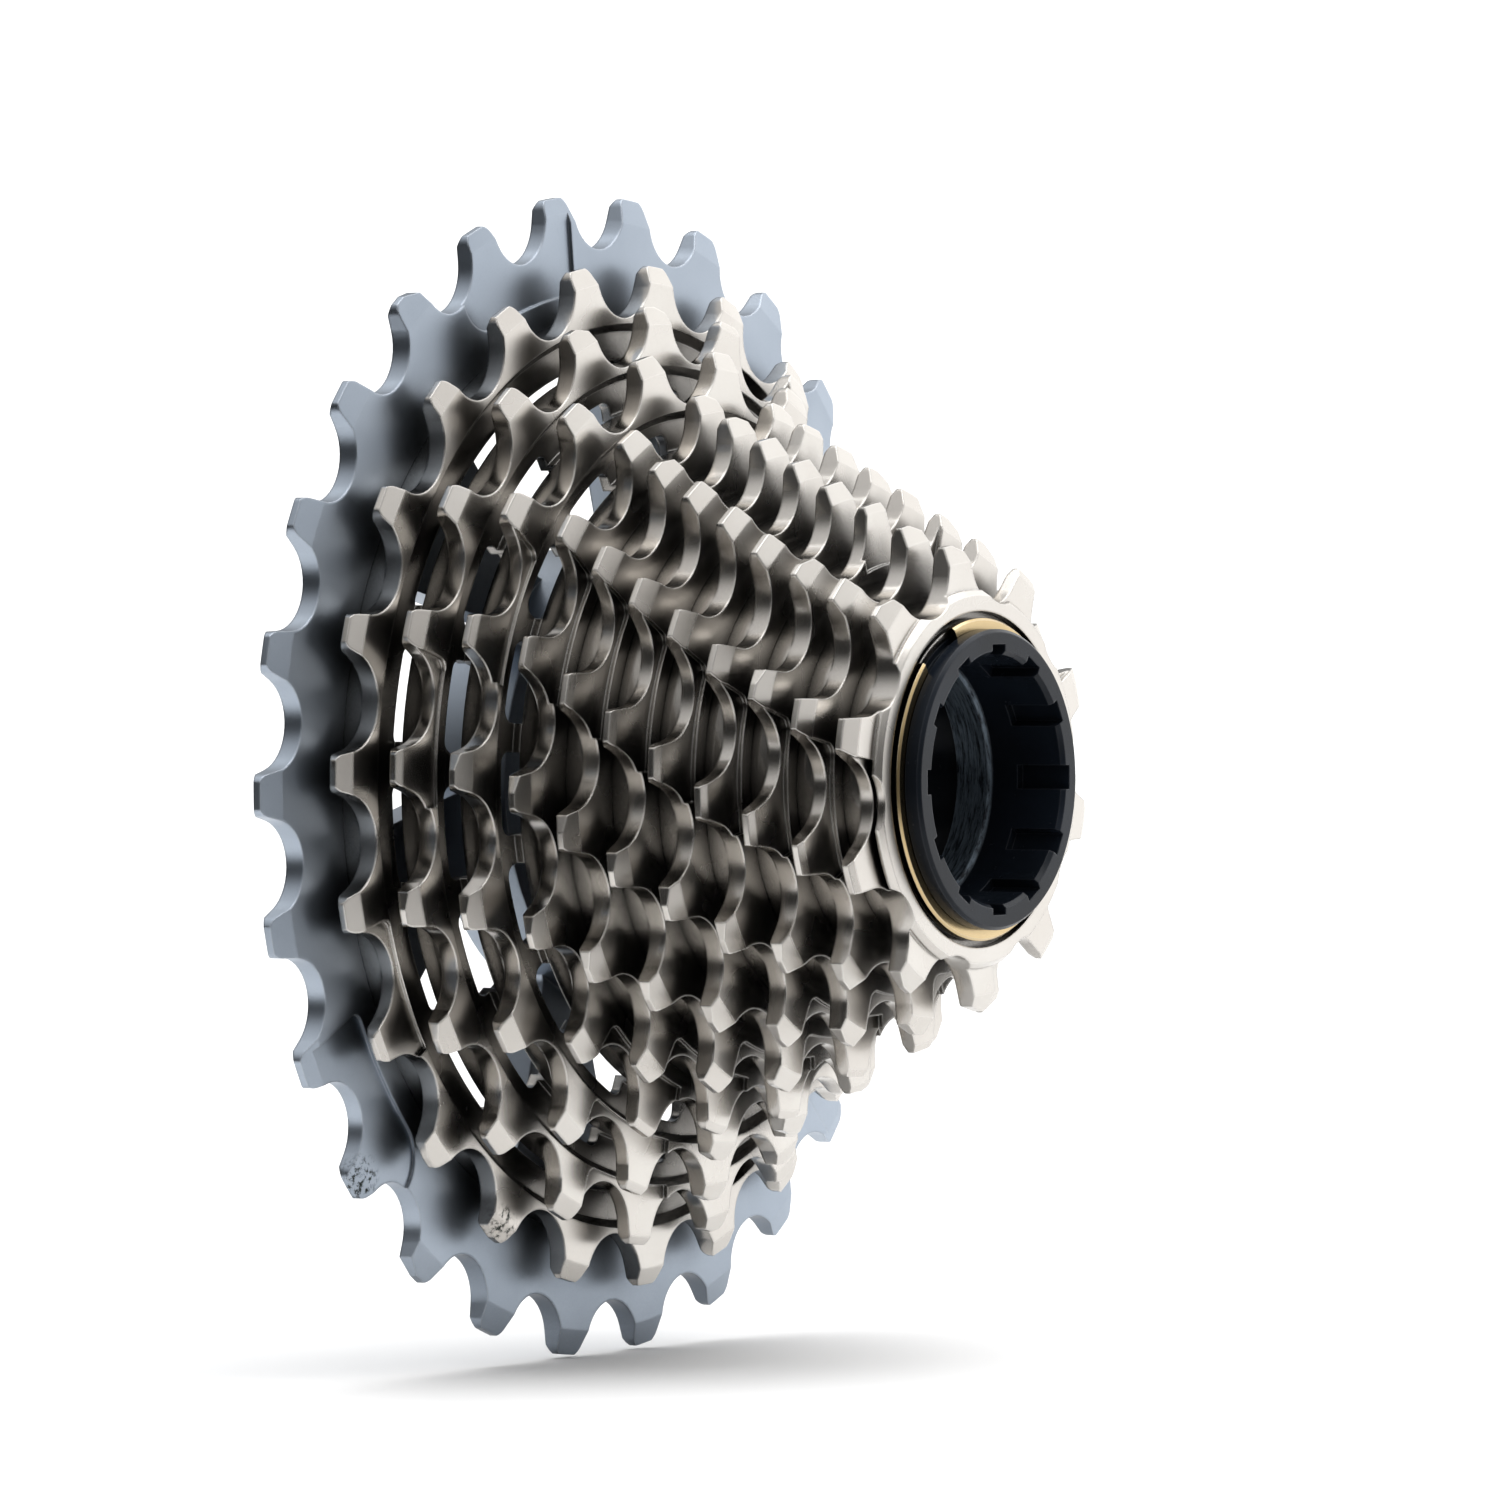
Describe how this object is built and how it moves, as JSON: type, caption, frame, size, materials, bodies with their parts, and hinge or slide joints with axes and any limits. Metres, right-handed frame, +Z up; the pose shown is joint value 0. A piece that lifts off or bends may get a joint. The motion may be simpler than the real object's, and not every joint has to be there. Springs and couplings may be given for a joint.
{
  "type": "cassette sprocket",
  "caption": "Bicycle cassette sprocket: toothed rings stacked from a small steel one to a large aluminium one with a splined hub, held on by a threaded lock tube that turns freely.",
  "frame": {"origin": "on the spin axis, in the inboard end face of the hub bore, which seats against the hub", "axes": "spin axis along Y; +Y is inboard, towards the hub and wheel; -Y is outboard, towards the smallest sprocket; +Z is up as pictured"},
  "size_m": [0.1076, 0.0479, 0.1072],
  "materials": {
    "alloy": "satin anodised blue-grey",
    "steel": "satin nickel",
    "pin": "plain",
    "tube": "black anodised, half gloss",
    "ring": "plain"
  },
  "bodies": {
    "cluster": {"sprocket_26t": "alloy", "sprocket_23t": "steel", "sprocket_21t": "steel", "sprocket_19t": "steel", "sprocket_17t": "steel", "sprocket_16t": "steel", "sprocket_15t": "steel", "sprocket_14t": "steel", "sprocket_13t": "steel", "sprocket_12t": "steel", "sprocket_11t": "steel", "sprocket_10t": "steel", "sprocket_pins": "pin"},
    "split_ring": {"retaining_ring": "ring"},
    "lock": {"lock_tube": "tube"}
  },
  "joints": [
    {"name": "lock_float", "type": "slide", "parent": "cluster", "child": "split_ring", "axis": [0, -1, 0], "range_m": [0, 0.0004]},
    {"name": "lock_spin", "type": "hinge", "parent": "split_ring", "child": "lock", "pos_m": [0, -0.035, 0], "axis": [0, -1, 0], "continuous": true}
  ]
}
